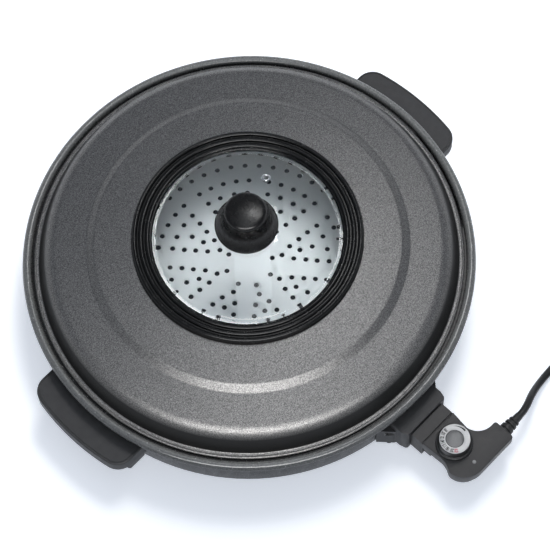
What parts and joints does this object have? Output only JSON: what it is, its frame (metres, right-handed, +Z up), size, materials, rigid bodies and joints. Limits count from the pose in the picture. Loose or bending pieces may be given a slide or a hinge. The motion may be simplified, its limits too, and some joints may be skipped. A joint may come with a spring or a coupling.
{
  "type": "electric skillet",
  "caption": "Round electric skillet with side handles, steam plate, domed metal lid with a glass lid in its middle, and a plug-in thermostat on a coiled mains lead.",
  "frame": {"origin": "the point of the table under the pan's axis, where the six rubber feet stand", "axes": "+Z up along the pan's axis, +X through the right side handle, -Y towards the plug-in thermostat"},
  "size_m": [0.519, 0.5718, 0.1605],
  "materials": {
    "stone_coat": "dark grey stone-look non-stick coat on cast aluminium, fine white flecks",
    "element_steel": "sheathed heating element, dull steel",
    "ceramic": "steatite ceramic",
    "bright_steel": "bright nickel-plated or stainless steel",
    "handle_plastic": "charcoal phenolic moulding, satin",
    "screw_steel": "zinc-plated steel",
    "foot_rubber": "black rubber",
    "plate_aluminium": "bright satin aluminium",
    "hammer_coat": "dark grey hammertone coat on sheet aluminium",
    "clear_glass": "clear tempered glass",
    "silicone": "black silicone, soft gloss",
    "knob_plastic": "black heat-proof plastic, soft gloss",
    "brass_parts": "brass",
    "housing_plastic": "charcoal plastic, fine matt grain",
    "bimetal": "bimetal strip",
    "lamp_lens": "clear indicator lens",
    "lamp_glass": "neon lamp glass",
    "clamp_nylon": "natural nylon",
    "cable_vinyl": "black cable sheath",
    "tie_nylon": "black nylon tie",
    "plug_vinyl": "black moulded plug",
    "dial_silver": "silver face ring with plain numbers"
  },
  "bodies": {
    "pan": {"pan_body": "stone_coat", "heating_element": "element_steel", "terminal_insulators": "ceramic", "terminal_pins": "bright_steel", "left_handle": "handle_plastic", "right_handle": "handle_plastic", "handle_screws": "screw_steel", "handle_feet": "foot_rubber", "socket_guard": "handle_plastic", "guard_screws": "screw_steel", "guard_feet": "foot_rubber"},
    "steam_plate": {"steam_plate": "plate_aluminium", "plate_stand": "plate_aluminium"},
    "lid": {"lid_shell": "hammer_coat"},
    "glass_lid": {"glass_disc": "clear_glass", "silicone_ring": "silicone", "vent_eyelet": "bright_steel", "knob": "knob_plastic", "knob_insert": "brass_parts", "knob_seal": "silicone", "knob_washer": "bright_steel", "knob_screw": "screw_steel"},
    "thermostat": {"housing_top": "housing_plastic", "housing_bottom": "housing_plastic", "plug_neck": "housing_plastic", "probe_tube": "bright_steel", "female_terminals": "brass_parts", "earth_clip": "brass_parts", "thermostat_block": "ceramic", "bimetal_strip": "bimetal", "contact_blades": "brass_parts", "indicator_lens": "lamp_lens", "neon_lamp": "lamp_glass", "housing_screws": "screw_steel", "cord_clamp": "clamp_nylon", "strain_relief": "cable_vinyl", "cord_lead": "cable_vinyl", "cord_coil": "cable_vinyl", "cord_tail": "cable_vinyl", "coil_tie": "tie_nylon", "plug_body": "plug_vinyl", "plug_pins": "bright_steel", "plug_earth_clips": "bright_steel"},
    "dial": {"dial_knob": "knob_plastic", "dial_face": "dial_silver", "dial_spindle": "screw_steel"}
  },
  "joints": [
    {"name": "lid_lift", "type": "slide", "parent": "pan", "child": "lid", "axis": [0, 0, 1], "range_m": [0, 0.15]},
    {"name": "glass_lid_lift", "type": "slide", "parent": "lid", "child": "glass_lid", "axis": [0, 0, 1], "range_m": [0, 0.09]},
    {"name": "steam_plate_lift", "type": "slide", "parent": "pan", "child": "steam_plate", "axis": [0, 0, 1], "range_m": [0, 0.075]},
    {"name": "thermostat_pull", "type": "slide", "parent": "pan", "child": "thermostat", "axis": [0, -1, 0], "range_m": [0, 0.08]},
    {"name": "dial_turn", "type": "hinge", "parent": "thermostat", "child": "dial", "pos_m": [-0.001, -0.257, 0.046], "axis": [0, 0, -1], "range_deg": [0, 270]}
  ],
  "couplings": [
    {"joint": "steam_plate_lift", "follows": "lid_lift", "ratio": 0.5}
  ]
}
